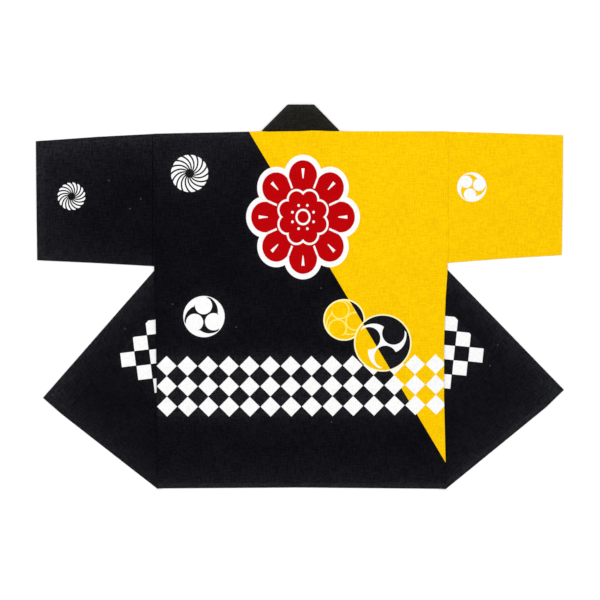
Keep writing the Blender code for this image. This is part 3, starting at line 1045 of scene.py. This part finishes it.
# Each front is turned outward under itself along its fold.
frontSettings = dict(
    cell=0.0055,
    foldSteps=8,
    cut=(0.292, 0.808),
    under=(0.0006, 0.0016),   # how far the front stays inside the back at the side and shoulder
    hemDepth=0.013,
    hemRise=0.00035,
    inside=0.0015,        # heights near the fold are read this far inside it
    flatTo=0.004,         # the turned front lies flat to here from the back's edge
    freeFrom=0.030,       # and ripples freely this much further out
    waves=(0.09, 0.00010, 3.3),      # size, height and seed
    turnedWaves=(0.07, 0.00035, 2.2),
    creases={
        "left": [
            ((0.345, -0.190), (0.470, -0.265), 0.00065, 0.0100),
            ((0.350, -0.090), (0.400, -0.200), 0.00040, 0.0080),
            ((0.352, -0.335), (0.460, -0.250), 0.00050, 0.0090),
        ],
        "right": [
            ((0.350, -0.230), (0.495, -0.225), 0.00060, 0.0105),
            ((0.356, -0.075), (0.425, -0.175), 0.00045, 0.0085),
            ((0.360, -0.345), (0.440, -0.300), 0.00045, 0.0080),
        ],
    },
)


def makeFront(side):
    row, plan = frontSettings, plans[side]
    creases = row["creases"][side]
    inset = coat["bandWidth"] - coat["sewn"]
    roll = coat["roll"]
    pastRoll = plan.inward * roll
    under = Vector(row["under"])
    hem = [plan.hem, plan.hem + pastRoll, plan.unfolded(plan.onTurnedHem(inset))]
    top = [plan.shoulder - under, plan.neck - Vector((coat["sewn"], under.y))]
    start = [plan.hem] + [p - Vector((under.x, 0.0)) for p in plan.side[::-1]] + [top[0]]
    end = [hem[-1], plan.onFold(inset) + pastRoll, plan.onFold(inset), top[-1]]
    width, length = lengthOf(hem), lengthOf(start)
    depth = row["hemDepth"]
    turnAt = lengthOf(end[:2]) / lengthOf(end)
    rim = coat["rim"]
    across = placesAlong(1.0, row["cell"] / width, [rim / width, roll / width, 1 - rim / width])
    along = placesAlong(1.0, row["cell"] / length, [
        rim / length, *[place / length for place in stepAt(depth)],
        turnAt, turnAt + roll / lengthOf(end), 1 - rim / length])
    bm = gridOf(across, along)
    fitToEdges(bm, hem, top, start, end)
    for i in range(row["foldSteps"] + 1):
        where = plan.hem + plan.inward * roll * i / row["foldSteps"]
        bmesh.ops.bisect_plane(bm, geom=bm.verts[:] + bm.edges[:] + bm.faces[:], dist=1e-6,
                               plane_co=where.to_3d(), plane_no=plan.inward.to_3d())
    keepPlan(bm, lambda v: (plan.sign * v.co.x, v.co.y))
    area = flatArea(bm)

    tree = treeOf("front_" + side)
    hemWay = (hem[2] - hem[1]).normalized()
    waveSize, waveHeight, seed = row["turnedWaves"]

    def heightOn(spot):
        inner = spot - plan.inward * max(plan.across(spot) + row["inside"], 0.0)
        return topAt(tree, Vector((plan.sign * inner.x, inner.y))) - coat["wall"] / 2

    for v in bm.verts:
        flat = v.co.xy
        past = plan.across(flat)
        onFold = flat - plan.inward * past
        ground = coat["wall"] / 2
        if past <= 0:
            lifted = heightOn(flat) + abs(rippleAt(flat, *row["waves"]))
            v.co = (flat.x, flat.y, lifted)
        elif past >= roll:
            spot = onFold - plan.inward * (past - roll)
            free = ease((spot.x - (plan.seamX + row["flatTo"])) / row["freeFrom"])
            fromHem = abs((flat - hem[1]).dot(leftOf(hemWay)))
            rise = row["hemRise"] * laidOver(depth - fromHem) + creaseAt(creases, spot)
            rise += abs(rippleAt(spot, waveSize, waveHeight, seed * plan.sign))
            v.co = (spot.x, spot.y, ground + rise * free)
        else:
            angle = pi * past / roll
            radius = (heightOn(onFold) - ground) / 2
            spot = onFold + plan.inward * radius * sin(angle)
            v.co = (spot.x, spot.y, ground + radius * (1 + cos(angle)))
        v.co.x *= plan.sign
    if plan.sign < 0:
        bmesh.ops.reverse_faces(bm, faces=bm.faces)      # the right side faces down before the fold

    surface = surfaceOf(bm)
    inside = stitchSettings["inside"]
    hemBase = plan.hem + leftOf(plan.turnedHem) * (depth - inside)
    first = plan.untilSeam(hemBase, plan.turnedHem, stitchSettings["clear"])
    last = meet(hemBase, plan.turnedHem, plan.bandHem, plan.edge) - plan.turnedHem * inside
    stitches = makeStitches(f"front_{side}_hem_stitches", [plan.placed([first, last])], surface,
                            "blackThread")
    dressNode("front_" + side, f"front_{side}_cloth", bm, [finishes[side], finishes["wrongBlack"]],
              "black_cotton", area, flat=row["cut"], held="folded", rests_on=["back"],
              with_pieces=[stitches])


for side in plans:
    makeFront(side)


sleeveSettings = {
    "left": dict(
        finish="leftSleeve", wrong="wrongBlack", thread="blackThread",
        # the armhole seam's thread here is drawn dark as painted shade
        seamThread="shadeDarkThread", slot="black_cotton", cut=(0.612, 0.268),
        creases=[
            ((0.345, 0.300), (0.440, 0.255), 0.00050, 0.0100),
            ((0.350, 0.110), (0.460, 0.165), 0.00060, 0.0110),
            ((0.480, 0.330), (0.560, 0.300), 0.00040, 0.0085),
            ((0.455, 0.100), (0.575, 0.135), 0.00045, 0.0095),
        ]),
    "right": dict(
        finish="rightSleeve", wrong="wrongYellow", thread="yellowThread",
        seamThread="yellowThread", slot="yellow_cotton", cut=(0.604, 0.264),
        creases=[
            ((0.350, 0.130), (0.455, 0.190), 0.00055, 0.0110),
            ((0.440, 0.330), (0.545, 0.290), 0.00045, 0.0100),
            ((0.470, 0.110), (0.570, 0.150), 0.00050, 0.0090),
            ((0.350, 0.335), (0.420, 0.315), 0.00035, 0.0080),
        ]),
}
sleeveCell = 0.0055
sleeveRoll = 8            # faces round the top fold and round the underarm seam
sleeveWaves = (0.075, 0.00035, 5.5)
sleeveEnds = (0.012, 0.988)          # shares of the width between which the rows of stitches run
cuff = dict(depth=0.022, rise=0.00035, gape=0.0010)
armhole = dict(depth=0.009, rise=0.00030)


def ringPlaces(span):
    # places round a flattened tube whose flat part is this wide: lower layer, fold, upper, seam
    bend = pi * (coat["wall"] + coat["lay"]) / 2
    flats = placesAlong(span, sleeveCell)
    around = flats[:-1]
    around += [span + bend * i / sleeveRoll for i in range(sleeveRoll)]
    around += [span + bend + p for p in flats[:-1]]
    around += [2 * span + bend + bend * i / sleeveRoll for i in range(sleeveRoll + 1)]
    return around, bend


def ringSpot(top, under, place, span, bend, gape):
    # the point of one ring, its height, and how far up it is between the layers
    radius = (coat["wall"] + coat["lay"]) / 2
    along = (top - under).normalized()
    start = under + along * (radius + coat["wall"] / 2)
    end = top - along * (radius + coat["wall"] / 2)
    ground = coat["wall"] / 2
    if place <= span:
        share = place / span
        return start.lerp(end, share), ground, 0.0
    if place <= span + bend:
        angle = pi * (place - span) / bend
        spot = end + along * radius * sin(angle)
        return spot, ground + radius * (1 - cos(angle)), angle / pi
    if place <= 2 * span + bend:
        share = 1 - (place - span - bend) / span
        height = ground + 2 * radius + gape * sin(pi * share) ** 2
        return start.lerp(end, share), height, 1.0
    angle = pi * (place - 2 * span - bend) / bend
    spot = start - along * radius * sin(angle)
    return spot, ground + radius * (1 + cos(angle)), 1 - angle / pi


def makeSleeve(side):
    row, plan = sleeveSettings[side], plans[side]
    lapped = coat["lap"] + coat["sewn"]
    topLine, underLine = [[line[0] - Vector((lapped, 0.0)), *line[1:]]
                          for line in (plan.topFold, plan.underarm)]
    length = lengthOf(topLine)
    span = (topLine[0] - underLine[0]).length - coat["wall"] * 2 - coat["lay"]
    around, bend = ringPlaces(span)
    along = placesAlong(length, sleeveCell, [
        coat["rim"], *stepAt(armhole["depth"]), *stepAt(length - cuff["depth"]),
        length - coat["rim"]])
    bm = gridOf(around, along)
    planSpots = {}
    waveSize, waveHeight, seed = sleeveWaves
    for v in bm.verts:
        place, share = v.co.x, v.co.y / length
        top, under = pointOn(topLine, share), pointOn(underLine, share)
        spot, height, upper = ringSpot(top, under, place, span, bend, cuff["gape"] * share)
        unrolled = spot.y if place > span + bend / 2 else 2 * top.y - spot.y
        if place > 2 * span + bend:
            unrolled = spot.y - (place - 2 * span - bend)
        planSpots[v] = (plan.sign * spot.x, unrolled)
        rise = armhole["rise"] * laidOver(armhole["depth"] - v.co.y)
        rise += cuff["rise"] * laidOver(v.co.y - length + cuff["depth"])
        rise += creaseAt(row["creases"], spot)
        rise += abs(rippleAt(spot, waveSize, waveHeight, seed * plan.sign))
        v.co = (plan.sign * spot.x, spot.y, height + rise * upper)
    keepPlan(bm, lambda v: planSpots[v])
    if plan.sign < 0:
        bmesh.ops.reverse_faces(bm, faces=bm.faces)
    bmesh.ops.remove_doubles(bm, verts=bm.verts, dist=1e-6)      # sewn together under the arm
    area = flatArea(bm)

    surface = surfaceOf(bm)

    def sewnAcross(name, share, thread):
        top, under = pointOn(topLine, share), pointOn(underLine, share)
        path = plan.placed([under.lerp(top, end) for end in sleeveEnds])
        return makeStitches(f"sleeve_{side}_{name}", [path], surface, thread)

    atCuff = 1 - (cuff["depth"] - stitchSettings["inside"]) / length
    stitches = [sewnAcross("cuff_stitches", atCuff, row["thread"]),
                sewnAcross("seam_stitches", (plan.seamIn + lapped) / length, row["seamThread"])]
    dressNode("sleeve_" + side, f"sleeve_{side}_cloth", bm,
              [finishes[row["finish"]], finishes[row["wrong"]]], row["slot"], area,
              flat=row["cut"], held="laid", rests_on=["back"], with_pieces=stitches)


for side in sleeveSettings:
    makeSleeve(side)


# The collar is one long doubled band.
collarSettings = dict(
    thick=0.0022,
    step=0.0080,          # between sections along the straight stretches
    turnSteps=12,
    cut=(coat["bandWidth"], 1.83),
    stitchIn=0.0024,      # topstitching beside the seam
    stitchLift=0.00005,
    stitchClear=0.003,
    dent=0.00020,         # along the topstitching
    dentReach=0.0006,
    swell=0.00010,
    seamRound=0.0004,
    level=0.0001,         # sections this near the topmost height are behind the neck
    waves=(0.05, 0.03, 0.00010),     # size along and across, and height
    waveSeed=9.0,
    waveFrom=0.006,
    across=[0.0, 0.0004, 0.0012, 0.0019, 0.0024, 0.0029, 0.0036, 0.0070, 0.0130, 0.0200, 0.0280,
            0.0360, 0.0440, 0.0510, 0.0560, 0.0585, 0.0594, 0.0599, 0.0602],
)


def bandStations(plan):
    # seam point, free point and the band's normal at each, from the hem to the crease at the neck
    up = Vector((0.0, 0.0, 1.0))
    raised = up * coat["band"] / 2
    stations = [
        (plan.bandHem.to_3d() + raised, plan.tip.to_3d() + raised, up, up),
        (plan.bendSeam.to_3d() + raised, plan.bendFree.to_3d() + raised, up, up),
    ]
    acrossCrease = leftOf(plan.neck - plan.crease).normalized()
    levelEdge = Vector((1.0 / acrossCrease.x, 0.0))
    radius = (coat["band"] + coat["lay"]) / 2
    turns = [
        (plan.foldSeam, plan.foldFree, plan.inward, plan.inward, 0, -1),
        (plan.neck, plan.crease, acrossCrease, levelEdge, 1, 1),
    ]
    for seam, free, out, freeOut, below, face in turns:
        centre = up * (below * (coat["band"] + coat["lay"]) + coat["band"] / 2 + radius)
        for i in range(collarSettings["turnSteps"] + 1):
            angle = pi * i / collarSettings["turnSteps"]
            rays = [way.to_3d() * sin(angle) - up * cos(angle) for way in (out, freeOut)]
            edges = [spot.to_3d() + centre + ray * radius for spot, ray in zip((seam, free), rays)]
            stations.append((*edges, *[ray * face for ray in rays]))
    flip = Vector((plan.sign, 1.0, 1.0))
    return [tuple(part * flip for part in station) for station in stations]


def refined(stations):
    # more sections along each straight stretch
    rows = []
    for here, after in zip(stations, stations[1:]):
        away = ((after[0] - here[0]).length + (after[1] - here[1]).length) / 2
        count = max(1, ceil(away / collarSettings["step"]))
        for i in range(count):
            rows.append(tuple(a.lerp(b, i / count) for a, b in zip(here, after)))
    return rows + [stations[-1]]


def bandHalf(inset):
    # half of the band's thickness at a distance from its seam
    row = collarSettings
    half = row["thick"] / 2
    fromFree = coat["bandWidth"] - inset
    full = min(1.0, fromFree / half, (inset + row["seamRound"]) / (2 * row["seamRound"]))
    height = half * sqrt(max(0.0, 1 - (1 - full) ** 2))
    height -= row["dent"] * exp(-((inset - row["stitchIn"]) / row["dentReach"]) ** 2)
    return height + row["swell"] * sin(pi * min(1.0, inset / coat["bandWidth"])) ** 0.5


def makeCollar():
    row = collarSettings
    over = 2 * (coat["band"] + coat["lay"]) + coat["band"] / 2
    seam = Vector((coat["bandMiddle"], coat["neckY"], over))
    free = seam + Vector((0.0, coat["bandWidth"], 0.0))
    up = Vector((0.0, 0.0, 1.0))
    middle = (seam, free, up, up)
    stations = bandStations(left) + [middle] + bandStations(right)[::-1]
    stations = refined(stations)
    places = row["across"] + [-p for p in row["across"][-2:0:-1]] + [0.0]
    bm = gridOf([float(i) for i in range(len(places))],
                [float(j) for j in range(len(stations))])
    along = [0.0]
    for here, after in zip(stations, stations[1:]):
        along.append(along[-1] + ((after[0] + after[1]) / 2 - (here[0] + here[1]) / 2).length)
    planSpots = {}
    sizeAlong, sizeAcross, waveHeight = row["waves"]
    atFree = len(row["across"]) - 1
    for v in bm.verts:
        i, j = round(v.co.x), round(v.co.y)
        seam, free, seamOut, freeOut = stations[j]
        inset = abs(places[i])
        face = 0.0 if i % atFree == 0 else 1.0 if i < atFree else -1.0
        share = inset / coat["bandWidth"]
        spot = seam.lerp(free, share)
        if seam.z > over - row["level"]:
            spot.y += neckBow(seam.x) * (1 - share)
        normal = seamOut.lerp(freeOut, share)
        where = Vector((along[j] / sizeAlong, inset / sizeAcross, face * row["waveSeed"]))
        ripple = noise.noise(where) * waveHeight * min(1.0, inset / row["waveFrom"])
        v.co = spot + normal * face * (bandHalf(inset) + ripple)
        planSpots[v] = (inset if i <= atFree else 2 * coat["bandWidth"] - inset, along[j])
    keepPlan(bm, lambda v: planSpots[v])
    bmesh.ops.remove_doubles(bm, verts=bm.verts, dist=1e-6)
    area = flatArea(bm) / 2
    bmesh.ops.holes_fill(bm, edges=[e for e in bm.edges if e.is_boundary], sides=0)
    bmesh.ops.recalc_face_normals(bm, faces=bm.faces)

    tree = BVHTree.FromBMesh(bm)
    paths = []
    for plan in plans.values():
        pairs = [(plan.bandHem, plan.tip), (plan.bendSeam, plan.bendFree)]
        line = [a.lerp(b, row["stitchIn"] / coat["bandWidth"]) for a, b in pairs]
        stop = plan.untilSeam(line[0], line[1] - line[0], stitchSettings["clear"])
        paths.append(plan.placed([line[0], stop]))
    back = Vector((-row["stitchClear"], row["stitchIn"]))
    paths.append(left.placed([left.neck + back]) + right.placed([right.neck + back]))
    stitches = makeStitches("collar_stitches", paths,
                            lambda p: topAt(tree, p) + row["stitchLift"],
                            "blackThread")
    dressNode("collar", "collar_band", bm, [finishes["collar"]], "collar_cotton",
              min(area, row["cut"][0] * row["cut"][1]), flat=row["cut"], held="folded",
              rests_on=["back"], with_pieces=[stitches])
    print("length of the band", round(along[-1], 3))


makeCollar()


studio = dict(
    floor=12.0,
    floorColour=(0.93, 0.93, 0.925, 1.0),
    floorCloud=(3.0, 0.985),         # spots a metre, and how dark they get
    skyStrength=0.80,
    lampPower=62.0,
    lampSize=3.2,
    lampPlace=(-0.25, 0.9, 3.4),
    lens=100.0,
    eye=(0.00035, -0.00796, 3.747),
)


def makeStudio():
    bm = bmesh.new()
    bmesh.ops.create_grid(bm, x_segments=2, y_segments=2, size=studio["floor"] / 2)
    paper = Finish("floorPaper")
    place = paper.node("ShaderNodeTexCoord", None, None, output=3)
    spots, dark = studio["floorCloud"]
    cloud = paper.grain(place, (spots, spots, 1.0), detail=3.0)
    shown = paper.mix(cloud, toned(studio["floorColour"], dark), studio["floorColour"])
    paper.show(Base_Color=shown, Roughness=0.9, Specular_IOR_Level=0.1)
    toObject("floor", bm, [paper.material])

    scene = bpy.context.scene
    world = bpy.data.worlds.new("studio")
    scene.world = world
    world.use_nodes = True
    sky = world.node_tree.nodes["Background"]
    sky.inputs["Color"].default_value = (1.0, 1.0, 1.0, 1.0)
    sky.inputs["Strength"].default_value = studio["skyStrength"]

    light = bpy.data.lights.new("softbox", "AREA")
    light.shape = "DISK"
    light.size = studio["lampSize"]
    light.energy = studio["lampPower"]
    lamp = bpy.data.objects.new("softbox", light)
    lamp.location = studio["lampPlace"]
    lamp.rotation_euler = (-lamp.location).to_track_quat("-Z", "Y").to_euler()
    scene.collection.objects.link(lamp)

    camera = bpy.data.cameras.new("camera")
    camera.lens = studio["lens"]
    camera.clip_end = 50.0
    eye = bpy.data.objects.new("camera", camera)
    eye.location = studio["eye"]
    scene.collection.objects.link(eye)
    scene.camera = eye
    scene.view_settings.view_transform = "Standard"


makeStudio()
print("studio made")
